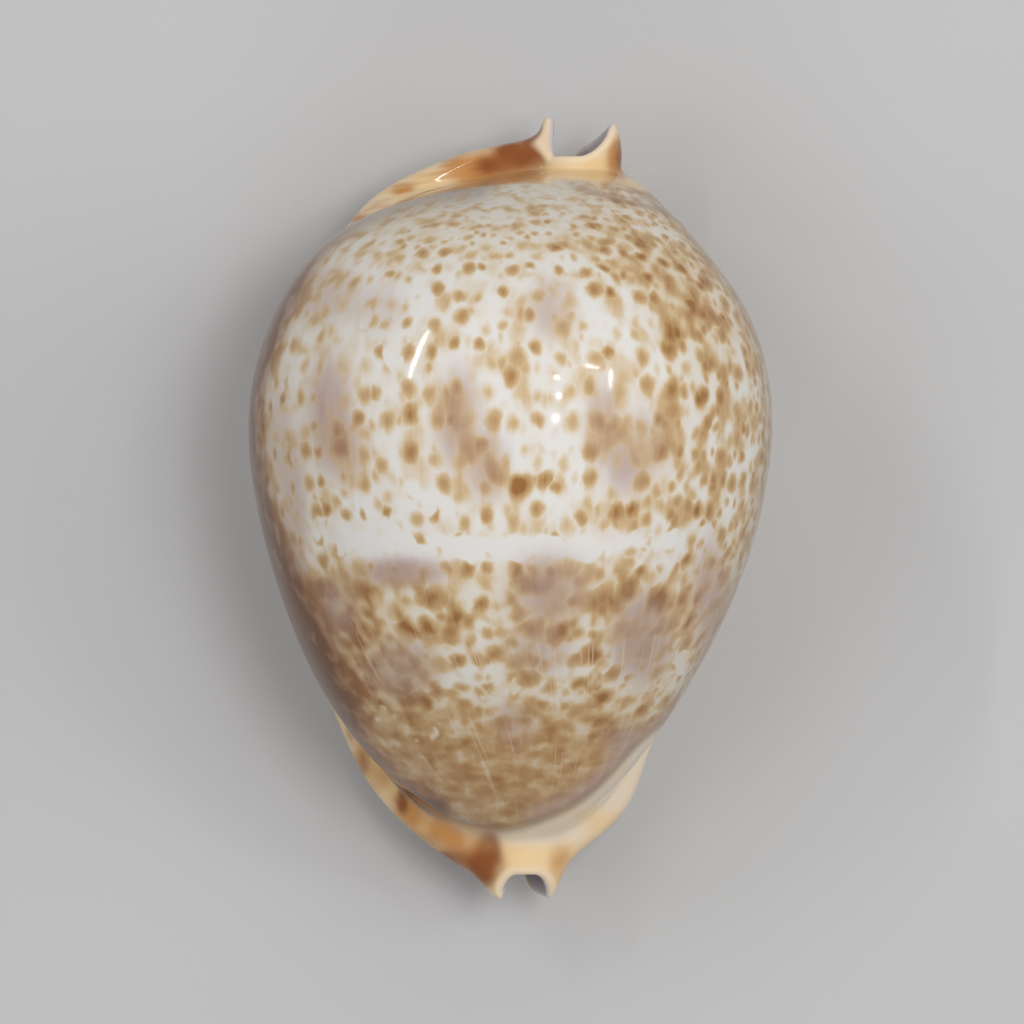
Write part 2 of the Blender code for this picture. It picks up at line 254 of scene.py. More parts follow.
def innerPoint(station, angle):
    y = warp(station, angle)
    hollow = bodyReach(y, angle, wall["backThickness"], wall["baseThickness"])
    return placed(y, angle, smoothMax(hollow, lines["canalBore"](y), wall["canalBlend"]))


def lipAngle(surface, station, side):  # the angle at which a surface stops beside the aperture
    drawnBack = lines["lipInside"] if surface is innerPoint else 1.0
    angle = np.radians(-90 + wall["lipStart"] * side) + 0 * station
    for _ in range(wall["lipSteps"]):
        _, y, z = np.moveaxis(surface(station, angle), -1, 0)
        edge = lines["gapX"](y) + side * (lines["gapHalf"](y) + drawnBack * lines["lipRound"](y))
        angle = np.arctan2(z - lines["axisZ"](y), edge - lines["axisX"](y))
    return angle


def columnShares(surface, count):  # where the columns stand between the lips
    girth = np.array(wall["girth"])
    start, end = lipAngle(surface, girth, -1), lipAngle(surface, girth, 1) - 2 * np.pi
    angle = np.linspace(start, end, wall["rays"])
    step = np.linalg.norm(np.diff(surface(girth, angle), axis=0), axis=1)
    share = np.concatenate([[0.0], np.cumsum(step / step.sum() + wall["evenTurn"] / (wall["rays"] - 1))])
    return np.interp(np.linspace(0, share[-1], count), share, np.linspace(0, 1, wall["rays"]))


def ringAngles(surface, stations, count):
    start, end = lipAngle(surface, stations, -1), lipAngle(surface, stations, 1)
    end = np.where(end > start, end - 2 * np.pi, end)
    return start[:, None] + (end - start)[:, None] * columnShares(surface, count)[None, :]


def ringStations():  # the rings' places, and how much of the wall's thickness is left at each
    foreEnd, hindEnd = wall["girth"] - wall["foreReach"], wall["girth"] + wall["hindReach"]
    rounding = np.linspace(0, np.pi / 2, wall["roundRings"] + 1)[1:]
    falling = 1 - np.cos(np.linspace(0, np.pi / 2, wall["fallRings"]))
    foreCount, hindCount = wall["canalRings"]
    foreTip = wall["foreRim"] + wall["rimRound"] * (1 - np.sin(rounding))
    hindTip = wall["hindRim"] - wall["rimRound"] * (1 - np.sin(rounding))
    foreFall = foreEnd + wall["foreFall"] * falling
    hindFall = hindEnd - wall["hindFall"] * falling
    foreCanal = np.linspace(wall["foreRim"] + wall["rimRound"], foreEnd, foreCount + 1)[:-1]
    hindCanal = np.linspace(hindEnd, wall["hindRim"] - wall["rimRound"], hindCount + 1)[1:]
    middle = np.linspace(foreFall[-1], hindFall[-1], wall["middleRings"] + 2)[1:-1]
    places = np.concatenate([foreTip[::-1], foreCanal, foreFall, middle, hindFall[::-1], hindCanal, hindTip])
    keep = np.ones(len(places))
    keep[: len(foreTip)] = np.cos(rounding)[::-1]
    keep[-len(hindTip) :] = np.cos(rounding)
    keep[[0, -1]] = 0
    return places, keep


def toothRelief(y):  # rounded ridges, none quite like its neighbour
    turn = (y - teeth["first"]) / teeth["pitch"]
    number = np.round(turn)
    ridge = (0.5 + 0.5 * np.cos(2 * np.pi * turn)) ** teeth["sharpness"]
    first, second = teeth["unevenTurns"]
    uneven = 1 + teeth["unevenness"] * np.sin(number * first + np.sin(number * second))
    started = smoothStep(number, *teeth["firstFade"])
    ended = smoothStep(number - teeth["count"], *teeth["lastFade"])
    return teeth["height"] * ridge * uneven * (started * (1 - ended))


def lipPoints(start, end, side, keep):  # the rounded edge of the wall, toothed
    turn = np.linspace(0, np.pi, wall["columnsLip"] + 2)[None, 1:-1, None]
    y = (start[:, 1] + end[:, 1]) / 2
    bulge = np.zeros((len(y), 1, 3))
    bulge[:, 0, 0] = -side * lines["lipRound"](y) * (1 + lines["lipInside"]) / 2 * keep
    points = start[:, None] + (end - start)[:, None] * (1 - np.cos(turn)) / 2 + bulge * np.sin(turn)
    facing = np.concatenate([-side * np.sin(turn), 0 * turn, -np.cos(turn)], axis=2)
    points += facing * toothRelief(y)[:, None, None] * np.sin(turn)
    points[..., 2] = np.maximum(points[..., 2], 0)
    return points


def shellRings():  # every ring goes outside, inner lip, inside, outer lip, and back to its start
    stations, keep = ringStations()
    column, keeping = stations[:, None], keep[:, None]
    outerAngles = ringAngles(outerPoint, stations, wall["columns"])
    innerAngles = ringAngles(innerPoint, stations, wall["columns"])
    innerAngles = outerAngles + (innerAngles - outerAngles) * keeping
    outside, under = outerPoint(column, outerAngles), innerPoint(column, outerAngles)
    inside, over = innerPoint(column, innerAngles), outerPoint(column, innerAngles)
    outside = (outside + under) / 2 + (outside - under) / 2 * keeping[..., None]
    inside = ((inside + over) / 2 + (inside - over) / 2 * keeping[..., None])[:, ::-1]
    innerLip = lipPoints(outside[:, -1], inside[:, 0], 1, keep)
    outerLip = lipPoints(outside[:, 0], inside[:, -1], -1, keep)[:, ::-1]
    rings = np.concatenate([outside, innerLip, inside, outerLip, outside[:, :1]], axis=1)
    return rings, stations, outerAngles


# the glaze's larger marks, as (x, y, half width, half length, strength) in mm, seen from above
marks = {
    "mauve": [
        (-20.4, 10.6, 2.0, 5.4, 1.0), (-18.2, 6.4, 1.8, 3.2, 0.7), (-5.9, 9.8, 1.9, 4.6, 0.95),
        (-2.6, 4.8, 1.9, 3.4, 0.8), (15.4, 7.4, 2.2, 3.4, 0.5), (10.4, 9.4, 1.7, 4.0, 0.75),
        (12.8, 4.8, 1.9, 3.0, 0.75), (-12.2, -7.3, 4.0, 1.5, 1.0),
        (4.4, -9.2, 3.6, 3.4, 0.9), (3.0, -16.0, 3.2, 2.6, 0.55), (-12.4, -18.2, 3.4, 3.0, 0.85),
        (14.8, -14.6, 3.0, 4.4, 1.0), (-20.0, -11.8, 2.4, 3.6, 0.85), (-21.0, 23.8, 3.6, 3.0, 0.45),
        (-14.6, 22.0, 2.4, 2.6, 0.3), (4.6, 22.0, 2.2, 3.0, 0.55), (22.6, -10.0, 2.0, 5.6, 0.75),
        (-24.4, -1.0, 1.4, 9.0, 0.6), (-26.4, 8.0, 1.4, 5.0, 0.4), (13.0, -26.8, 2.2, 2.2, 0.8),
        (0.4, -24.6, 2.2, 2.2, 0.5), (10.6, -33.4, 2.6, 1.6, 0.5),
    ],
    "brown": [
        (-19.6, 7.4, 1.8, 3.6, 0.6), (-15.8, 4.6, 1.8, 2.6, 0.4), (-7.0, 10.4, 1.2, 2.4, 0.7),
        (-4.0, 6.0, 1.6, 4.0, 0.75), (1.0, 2.4, 1.4, 1.9, 1.0), (-1.8, 3.6, 1.1, 2.6, 0.8),
        (10.8, 8.8, 1.1, 3.2, 0.6), (3.4, -8.4, 3.6, 1.7, 1.0),
        (3.2, -14.0, 2.4, 1.6, 0.7), (6.8, -11.6, 1.5, 2.2, 1.0), (-6.0, -13.0, 2.4, 1.5, 0.95),
        (-12.6, -8.8, 3.2, 1.0, 0.6), (-20.6, -9.0, 2.2, 4.6, 0.5), (12.0, -7.8, 5.4, 1.4, 0.6),
        (20.6, -9.4, 4.0, 2.4, 0.5), (11.0, -11.0, 1.8, 1.8, 0.8), (16.8, -12.4, 2.0, 3.4, 0.8),
        (20.0, -14.0, 1.6, 4.0, 0.7), (22.0, 14.0, 4.4, 6.0, 0.55), (19.4, 23.6, 4.6, 5.0, 0.8),
        (12.6, 28.4, 5.4, 3.6, 0.6), (16.0, 9.0, 5.0, 4.4, 0.4), (21.0, 3.0, 5.0, 5.0, 0.5),
        (-21.4, 26.4, 2.6, 2.8, 0.5), (9.6, -22.0, 1.6, 4.0, 0.9), (19.2, -24.2, 1.6, 2.6, 0.7),
        (-15.4, -23.4, 2.6, 3.0, 0.7), (-9.2, -31.6, 4.6, 2.2, 0.8), (2.6, -31.4, 6.4, 1.6, 0.8),
        (-3.4, -34.6, 2.4, 1.6, 1.0), (9.4, -30.6, 3.0, 1.8, 0.7),
    ],
    "white": [
        (-6.0, -4.7, 9.0, 1.5, 1.0), (7.0, -4.4, 8.0, 1.4, 1.0), (-16.0, -3.0, 7.0, 1.9, 0.75),
        (19.0, -3.6, 6.0, 1.1, 0.7), (0.0, 27.2, 11.0, 1.1, 0.5), (-14.0, 19.0, 3.4, 5.6, 0.45),
        (-9.6, 1.8, 2.4, 2.2, 0.75), (-23.4, 2.0, 1.6, 4.6, 0.6), (-2.6, 30.4, 10.0, 0.8, 0.5),
        (-9.4, -25.6, 1.5, 1.5, 0.6), (-14.4, -24.6, 1.0, 2.2, 0.6), (13.4, -19.4, 4.4, 2.4, 0.5),
        (19.4, -18.0, 1.2, 3.6, 0.6), (3.6, 5.4, 2.2, 1.6, 0.5), (-1.0, -20.4, 4.4, 1.6, 0.4),
    ],
    "orange": [
        (-17.4, 33.2, 1.2, 0.8, 0.9), (-15.2, 34.8, 1.2, 0.7, 0.6), (-12.4, 36.6, 1.5, 0.7, 1.0),
        (-9.4, 38.0, 1.3, 0.6, 0.6), (-6.4, 39.0, 1.6, 1.3, 0.9), (-3.6, 38.6, 3.0, 2.0, 0.9),
        (0.2, 39.6, 3.4, 2.6, 0.9), (12.4, 40.2, 1.2, 2.8, 1.0), (9.4, 38.2, 1.8, 0.8, 0.25),
        (16.6, 34.6, 1.6, 0.8, 0.8), (20.0, 32.6, 1.4, 0.8, 0.7), (-17.2, -28.9, 1.0, 2.4, 0.7),
        (-15.1, -31.0, 1.2, 1.8, 0.7), (-12.4, -34.4, 2.0, 1.8, 0.7), (-9.9, -36.0, 2.4, 1.8, 0.8),
        (-7.6, -38.2, 2.8, 1.8, 0.85), (-4.6, -39.8, 2.8, 2.2, 0.9), (5.8, -41.4, 1.4, 3.0, 0.6),
    ],
    "redBrown": [
        (3.7, 42.6, 1.1, 2.6, 1.0), (2.6, 40.6, 1.6, 2.2, 0.9), (0.2, 40.4, 2.2, 1.6, 0.95),
        (-1.8, 39.2, 2.2, 1.3, 0.75), (12.8, 40.6, 0.8, 2.2, 0.6), (-12.5, -33.9, 0.7, 1.5, 0.75),
        (-16.8, -29.4, 0.7, 1.6, 0.5), (-9.6, -38.2, 1.6, 1.0, 0.4), (-6.6, -40.6, 2.8, 1.3, 0.8),
        (-3.2, -41.4, 2.2, 2.6, 0.9), (-2.4, -38.8, 1.2, 1.8, 0.5), (-18.2, -25.4, 0.8, 2.0, 0.5),
    ],
    "chalk": [
        (3.0, -37.3, 5.6, 1.3, 0.9), (12.0, -33.0, 3.4, 2.4, 0.9), (14.4, -29.4, 1.8, 2.6, 0.8),
        (-7.6, -35.0, 3.0, 1.0, 0.6), (9.8, 42.4, 1.4, 2.0, 0.4),
    ],
}
edges = {
    # the brown along the outer-lip side, a real brown margin deepened as painted edge shade, and the tan
    # along the other, as (place, share or width)
    "brown": spline((-30, 0.9), (-26, 1.0), (-14, 1.1), (-6, 1.0), (4, 0.9), (14, 0.9), (24, 0.95), (30, 0.7),
                    (36, 0.5)),
    "brownWidth": spline((-30, 3.8), (-26, 5.2), (-20, 7.4), (-15, 7.2), (-8, 6.2), (-3, 4.7), (4, 3.6),
                         (14, 3.4), (24, 4.0), (30, 3.0)),
    "tan": spline((-30, 0.5), (-26, 0.8), (-14, 0.9), (0, 0.8), (12, 0.9), (24, 0.95), (34, 0.9)),
    "brownFade": (0.1, 1.0),  # as shares of its width
    "tanFade": (0.2, 2.4),
    # how the pattern is laid on the shell
    "alongMix": 0.65,  # straight along the shell, the rest being along its surface
    "skinStretch": 0.9,
    "farOff": 9.0,  # where the distance to the back's edge stops counting
    "liftOff": 20.0,
    "lowOnly": (7, 12),  # the end lines count above this height on the outer-lip side
    "lowSide": (-4, 4),
    "slopeHeight": 14.0,  # below it the fore line runs back to the flange on the other side
    "slopeSide": (6, 14),
    "slope": 0.55,
    "markFall": (0.7, 1.5),  # how a mark fades outward
}


def markStrength(kind, x, y):
    total = np.zeros_like(x)
    for centreX, centreY, halfWidth, halfLength, strength in marks[kind]:
        away = ((x - centreX) / halfWidth) ** 2 + ((y - centreY) / halfLength) ** 2
        total += (1 - total) * strength * np.exp(-edges["markFall"][0] * away ** edges["markFall"][1])
    return total


def fromWidest(x, ends, columns, side):  # how far in from the side of its ring a point is
    reach = (x[np.arange(len(x)), ends][:, None] - x) * side
    return reach * np.where(columns * side <= ends[:, None] * side, 1, -1)


def pointFacts(rings, stations, outerAngles):  # what the glaze needs to know at every point
    ringCount, columnCount = rings.shape[:2]
    outside = slice(0, wall["columns"])
    inside = slice(wall["columns"] + wall["columnsLip"], 2 * wall["columns"] + wall["columnsLip"])
    x, y, z = np.moveaxis(rings, -1, 0)
    outX, outY, outZ = x[:, outside], y[:, outside], z[:, outside]
    flat = np.zeros_like(x)

    girth = np.array(wall["girth"])
    girthLine = outerPoint(girth, ringAngles(outerPoint, girth[None], wall["columns"])[0])
    run = np.concatenate([[0], np.cumsum(np.linalg.norm(np.diff(girthLine, axis=0), axis=1))])
    top = np.argmax(girthLine[:, 2])
    length = np.concatenate([[0], np.cumsum(np.linalg.norm(np.diff(rings[:, top], axis=0), axis=1))])
    length -= np.interp(wall["girth"], stations, length)
    chart = np.zeros((ringCount, columnCount, 3))
    chart[..., 0] = np.concatenate([run, np.full(columnCount - len(run), run[-1])]) - run[top]
    chart[..., 1] = edges["alongMix"] * y + (1 - edges["alongMix"]) * (length[:, None] + wall["girth"])

    (spanX, spanY, spanZ), (middleY, middleZ) = wall["skinSpan"], wall["skinMiddle"]
    acrossPart, alongPart = x / spanX, (y - middleY) / spanY
    outward = np.maximum(np.hypot(acrossPart, alongPart), 1e-6)
    turned = np.arctan2(outward, (z - middleZ) / spanZ) / outward  # unrolls the shell from its top
    along = edges["skinStretch"] * spanY * alongPart * turned
    skin = np.stack([spanX * acrossPart * turned, along, flat], axis=-1)
    beyond = np.stack([y - lines["fold"](x), flat, flat], axis=-1)

    place = warp(stations[:, None], outerAngles)
    body = bodyReach(place, outerAngles)
    body = body - np.maximum(flangeReach(place, outerAngles), lines["canalRadius"](place))
    far = edges["farOff"]
    above = edges["liftOff"] * (1 - smoothStep(outZ, *edges["lowOnly"]))
    above = above * (1 - smoothStep(outX, *edges["lowSide"]))
    beforeSpout = lines["spoutLine"](outX) - outY + above
    lowering = np.maximum(edges["slopeHeight"] - outZ, 0) * smoothStep(outX, *edges["slopeSide"])
    behindSaddle = outY - lines["saddleLine"](outX) - edges["slope"] * lowering + above
    zone = np.zeros((ringCount, columnCount, 3))
    zone[..., 0] = -far
    zone[:, outside, 0] = np.clip(np.minimum(np.minimum(body, beforeSpout), behindSaddle), -far, far)
    zone[:, inside, 1] = 1
    rim = np.minimum(wall["hindRim"] - stations, stations - wall["foreRim"])
    zone[..., 2] = np.maximum(rim, 0)[:, None]

    columns = np.arange(wall["columns"])[None, :]
    fromRight = fromWidest(outX, np.argmax(outX, axis=1), columns, 1)
    fromLeft = fromWidest(outX, np.argmin(outX, axis=1), columns, -1)
    brownShare = 1 - smoothStep(fromLeft / edges["brownWidth"](outY), *edges["brownFade"])
    edge = np.zeros((ringCount, columnCount, 3))
    edge[:, outside, 0] = edges["brown"](outY) * brownShare
    edge[:, outside, 1] = edges["tan"](outY) * (1 - smoothStep(fromRight, *edges["tanFade"]))
    edge[..., 2] = z
    facts = {"chart": chart, "skin": skin, "beyond": beyond, "zone": zone, "edge": edge}
    for name, kinds in (("tint", ("mauve", "brown", "white")), ("ends", ("orange", "redBrown", "chalk"))):
        facts[name] = np.stack([markStrength(kind, x, y) for kind in kinds], axis=-1)
    return facts


def addShell():
    for thing in bpy.context.selected_objects:
        thing.select_set(False)
    rings, stations, outerAngles = shellRings()
    rings = np.clip(rings, np.array(cadBox[0]) / mm, np.array(cadBox[1]) / mm)  # never past the solid's box
    ringCount, columnCount = rings.shape[:2]
    bpy.ops.mesh.primitive_grid_add(x_subdivisions=columnCount - 1, y_subdivisions=ringCount - 1, size=1)
    shell = bpy.context.object
    shell.name = shell.data.name = "cowrieShell"
    mesh = shell.data
    mesh.vertices.foreach_set("co", (rings * mm).reshape(-1))
    for name, values in pointFacts(rings, stations, outerAngles).items():
        layer = mesh.attributes.new(name, "FLOAT_VECTOR", "POINT")
        layer.data.foreach_set("vector", values.reshape(-1))
    mesh.update()
    bpy.ops.object.mode_set(mode="EDIT")
    bpy.ops.mesh.select_all(action="SELECT")
    bpy.ops.mesh.remove_doubles(threshold=wall["mergeWithin"] * mm)  # closes the rings and both rims
    bpy.ops.mesh.normals_make_consistent(inside=False)
    bpy.ops.object.mode_set(mode="OBJECT")
    bpy.ops.object.shade_smooth()
    return shell


shell = addShell()
print("shell built")


# colours are linear red, green, blue
glaze = {
    "white": (0.665, 0.645, 0.61),
    "warmWhite": (0.64, 0.565, 0.445),
    "mauve": (0.44, 0.325, 0.30),
    "dusk": (0.32, 0.215, 0.16),
    "paleOchre": (0.58, 0.435, 0.25),
    "ochre": (0.425, 0.262, 0.12),
    "brown": (0.255, 0.105, 0.027),
    "tan": (0.27, 0.165, 0.075),
    "foreTan": (0.42, 0.215, 0.07),
    "chestnut": (0.13, 0.046, 0.012),
    "fineLine": (0.70, 0.56, 0.44),
    # painted shade: the dark grey-brown laid into the crease between the back and the callus, and into the
    # groove beside the spire
    "creaseShade": (0.27, 0.20, 0.145),
    "cream": (0.74, 0.525, 0.27),
    "paleCream": (0.74, 0.60, 0.42),
    "chalk": (0.69, 0.60, 0.49),
    "orange": (0.47, 0.20, 0.05),
    "redBrown": (0.235, 0.072, 0.022),
    "base": (0.74, 0.60, 0.45),
    "inside": (0.55, 0.50, 0.51),
    "roughness": 0.08,
    "gloss": 0.25,
}

pattern = {
    # fields of noise, as (scale across and along in 1/mm, detail, shift)
    "broad": ((0.09, 0.07, 1), 1.0),
    "blots": ((0.34, 0.26, 1), 1.0, (5, 2, 0)),
    "strokes": ((2.2, 0.2, 1), 2.0, (1, 9, 0)),
    "slashes": ((0.6, 0.14, 1), 2.0, (3, 3, 0)),
    "ripple": ((0.19, 0.30, 1), 1.5, (8, 8, 0)),
    "lineField": ((1.9, 0.045, 1), 1.0),
    "linePatches": ((0.16, 0.1, 0), 1.0, (9, 4, 0)),
    "mottle": ((240, 240, 240), 1.0),  # these two in 1/m
    "cloud": ((120, 120, 120), 2.0, (3, 1, 2)),
    "wideWander": ((0.4, 0.3, 1), 1.3),  # with how far it pushes, in mm
    "fineWander": ((1.3, 1.0, 1), 0.35),
    # dots, as (mm from one to the next across and along), shift
    "spots": ((2.9, 3.3), (0, 0, 0)),
    "fineSpots": ((1.9, 2.7), (4.3, 1.7, 0)),
    "smudges": ((4.4, 4.6), (7.7, 3.1, 0)),
    "smudgeSize": 1.15,
    "spotReach": 0.23,
    "spotReachSpread": 0.1,
    "spotScatter": 0.66,
    "spotSizes": (0.72, 1.15),
    "spotSoftness": 2.1,
    "spotStrengths": (0.4, 1.0),
    # where a share starts and where it is full, in mm round the shell, along it or across it
    "rightward": (8.0, 26.0),
    "leftward": (-16.0, -42.0),
    "foreward": (-19.5, -32.0),
    "hindward": (26.0, 33.0),
    "belowBand": (-5.0, -10.0),
    "bandRagged": 9.0,  # how far the band's fore edge wanders
    "lowLeft": (-2.0, -24.0),
    "upRightAlong": (12.0, 22.0),
    "upRightRound": (12.0, 28.0),
    "warmPastFold": (-3.0, 0.0),
    "warmPastFoldAcross": (0.0, 5.0),
    "faintAcross": (-13.0, -20.0),
    "faintAlong": (12.0, 18.0),
    "besideFlange": (7.0, 2.0),
    "besideFlangeAlong": (24.0, 31.0),
    "besideFlangeRound": (4.0, -4.0),
    "foreEdge": (8.0, 2.0),
    "foreEdgeAcross": (12.0, 4.0, 0.1, 0.4),
    "pinkEdge": (0.2, 2.0, 1.2),
    "pinkEdgeAcross": (0.0, 6.0),
    "duskAlong": (-5.0, -8.0, 0.5, 0.8),
    "linesFrom": (-12.0, -18.0),
    "foldSide": (9.0, 15.0),
    "creaseSideShade": (4.6, 1.0),
    "creaseSideAcross": (-10.0, -16.0),
    "greyShadeSide": (3.6, 0.4),
    "greyAlong": (20.0, 30.0),
    "greyAcross": (0.0, -8.0),
    "belowSpoutAcross": (-6.0, 1.0),
    "belowSpoutAlong": (20.0, 28.0),
    "creaseShadeHeight": (5.0, 9.0),
    "baseHeight": (5.0, 1.5),
    "foreSpout": (-0.037, -0.040, 0.0, 0.75),  # in metres
    "rimWidth": (1.4, 0.3),
    "foldTan": (-0.2, 0.8),
    "foldLine": ((-0.5, 0.0), (0.8, 0.1)),
    "backEdge": (-0.5, 0.5),
    "creaseShadeLine": (-0.5, 0.6, 0.5),
    # how strongly one part of the shell has a thing
    "warmBelowBand": 0.55,
    "warmFore": 0.9,
    "warmHind": 0.6,
    "warmUpRight": 0.6,
    "warmLeft": 0.5,
    "denseRight": 0.28,
    "denseHind": 0.2,
    "denseUpRight": 0.6,
    "denseLeft": 0.6,
    "denseBelowBand": 0.36,
    "fineRight": 0.7,
    "fineHind": 0.75,
    "fineLeast": 0.35,
    "fineLostBelowBand": 0.85,
    "largeLostBelowBand": 0.5,
    "smudgeLeast": 0.3,
    "smudgeBelowBand": 0.75,
    "hazeLeast": 0.22,
    "hazeDense": 0.42,
    "spotStrength": 0.7,
    "lostBesideFlange": 0.5,
    "lostLeft": 0.3,
    "faint": 0.5,
    "foreHides": 0.8,
    "foreSlash": 0.13,
    "foreTan": 0.38,
    "pink": 0.55,
    "duskMix": 0.5,
    "linesRight": 0.8,
    "linesLeast": 0.12,
    "lineStrength": 0.42,
    "foldStrength": 0.55,
    "tanStrength": 0.75,
    "creaseSideStrength": 0.9,
    "brownStrength": 0.7,
    "chestnutStrength": 0.97,
    "baseStrength": 0.8,
    "chalkStrength": 0.9,
    "orangeStrength": 0.9,
    "redBrownStrength": 0.97,
    "pigmentStrength": 0.85,
    "creaseShadeStrength": 0.6,
    "rimStrength": 0.85,
    # what a field's or share's value does, as (from, to) or (from, to, result at from, result at to)
    "rag": (0.55, 2.6),
    "ragFrom": (0.0, 0.3),
    "white": (0.05, 1.1),
    "warmBroad": (0.3, 0.7, 0.5, 1.0),
    "mauveSlashes": (0.25, 0.6, 0.75, 1.05),
    "reachInWhite": (0.25, 0.8, 1.0, 0.0),
    "spotsInWhite": (0.1, 0.8, 1.0, 0.2),
    "hazeBlots": (0.4, 0.72),
    "hazeBroad": (0.3, 0.7, 0.02, 0.1),
    "washBlots": (0.2, 0.6, 0.2, 0.42),
    "strokeTone": (0.3, 0.7, 0.93, 1.06),
    "foreRipple": (0.34, 0.66, 0.2, 0.7),
    "foreSlashes": (0.52, 0.66),
    "foreInWhite": (0.1, 0.7, 0.9, 0.15),
    "duskSlashes": (0.3, 0.6, 0.75, 1.0),
    "lineFieldFade": (0.62, 0.7),
    "linePatchFade": (0.42, 0.56),
    "foldBlots": (0.3, 0.6),
    "tanSlashes": (0.3, 0.6, 0.55, 1.0),
    "marginBlots": (0.3, 0.6, 0.75, 1.1),
    "brownMargin": (0.0, 0.55),
    "chestnutMargin": (0.3, 1.0),
    "greyBlots": (0.3, 0.65, 0.95, 0.6),
    "paleCloud": (0.35, 0.65),
    "patchMottle": (0.3, 0.7, 0.7, 1.15),
    "orangeFade": (0.0, 1.0),
    "redBrownFade": (0.0, 0.85),
    "paleOchreFade": (0.02, 0.46),
    "ochreFade": (0.22, 0.74),
    "brownFade": (0.62, 1.15),
}


def link(tree, source, socket):  # a wire, or a constant set on the socket itself
    if isinstance(source, bpy.types.NodeSocket):
        tree.links.new(source, socket)
    elif isinstance(source, tuple) and len(source) == 3 and socket.type == "RGBA":
        socket.default_value = (*source, 1)
    else:
        socket.default_value = source


def calc(tree, operation, *values):
    node = tree.nodes.new("ShaderNodeMath")
    node.operation = operation
    for value, socket in zip(values, node.inputs):
        link(tree, value, socket)
    return node.outputs[0]


def times(tree, *values):
    total = values[0]
    for value in values[1:]:
        total = calc(tree, "MULTIPLY", total, value)
    return total


def either(tree, *values):
    total = values[0]
    for value in values[1:]:
        total = calc(tree, "MAXIMUM", total, value)
    return total


def fade(tree, value, low, high, fromValue=0.0, toValue=1.0):  # a soft step between low and high
    node = tree.nodes.new("ShaderNodeMapRange")
    node.interpolation_type = "SMOOTHSTEP"
    for source, socket in zip((value, low, high, fromValue, toValue), node.inputs):
        link(tree, source, socket)
    return node.outputs[0]


def between(tree, value, first, second, edge):  # 1 from first to second, soft over edge
    rise = fade(tree, value, first - edge, first + edge)
    fall = fade(tree, value, second - edge, second + edge, 1.0, 0.0)
    return times(tree, rise, fall)


def over(tree, share, below, above):  # one colour laid over another
    node = tree.nodes.new("ShaderNodeMix")
    node.data_type = "RGBA"
    factor, first, second = node.inputs[0], node.inputs[6], node.inputs[7]
    for source, socket in zip((share, below, above), (factor, first, second)):
        link(tree, source, socket)
    return node.outputs[2]


def without(tree, share):
    return calc(tree, "SUBTRACT", 1.0, share)


def scaled(tree, place, factors, shift=(0, 0, 0)):
    node = tree.nodes.new("ShaderNodeMapping")
    link(tree, place, node.inputs["Vector"])
    node.inputs["Scale"].default_value = factors
    node.inputs["Location"].default_value = shift
    return node.outputs[0]


def noise(tree, place, factors, detail=2.0, shift=(0, 0, 0), output="Fac"):
    node = tree.nodes.new("ShaderNodeTexNoise")
    link(tree, scaled(tree, place, factors, shift), node.inputs["Vector"])
    node.inputs["Scale"].default_value = 1.0
    node.inputs["Detail"].default_value = detail
    return node.outputs[output]


def wandering(tree, place, factors, amount):  # a place pushed about by noise
    push = tree.nodes.new("ShaderNodeVectorMath")
    push.operation = "MULTIPLY_ADD"
    link(tree, noise(tree, place, factors, output="Color"), push.inputs[0])
    push.inputs[1].default_value = (amount, amount, 0)
    link(tree, place, push.inputs[2])
    return push.outputs[0]


def dots(tree, place, reach, spacing, shift):  # soft round marks, each with its own strength
    cells = tree.nodes.new("ShaderNodeTexVoronoi")
    cells.voronoi_dimensions = "2D"
    link(tree, scaled(tree, place, (1 / spacing[0], 1 / spacing[1], 1), shift), cells.inputs["Vector"])
    cells.inputs["Scale"].default_value = 1.0
    cells.inputs["Randomness"].default_value = pattern["spotScatter"]
    random = tree.nodes.new("ShaderNodeSeparateColor")
    link(tree, cells.outputs["Color"], random.inputs[0])
    own = times(tree, reach, fade(tree, random.outputs[0], 0.0, 1.0, *pattern["spotSizes"]))
    edge = times(tree, own, pattern["spotSoftness"])
    mark = fade(tree, cells.outputs["Distance"], 0.0, edge, 1.0, 0.0)
    return times(tree, mark, fade(tree, random.outputs[1], 0.0, 0.9, *pattern["spotStrengths"]))


def attribute(tree, name):
    node = tree.nodes.new("ShaderNodeAttribute")
    node.attribute_name = name
    parts = tree.nodes.new("ShaderNodeSeparateXYZ")
    link(tree, node.outputs["Vector"], parts.inputs[0])
    return node.outputs["Vector"], parts.outputs


def pigmentColour(tree, pigment, ground):  # from the bare glaze through ochre to brown
    colour = over(tree, fade(tree, pigment, *pattern["paleOchreFade"]), ground, glaze["paleOchre"])
    colour = over(tree, fade(tree, pigment, *pattern["ochreFade"]), colour, glaze["ochre"])
    brownShare = times(tree, fade(tree, pigment, *pattern["brownFade"]), pattern["pigmentStrength"])
    return over(tree, brownShare, colour, glaze["brown"])


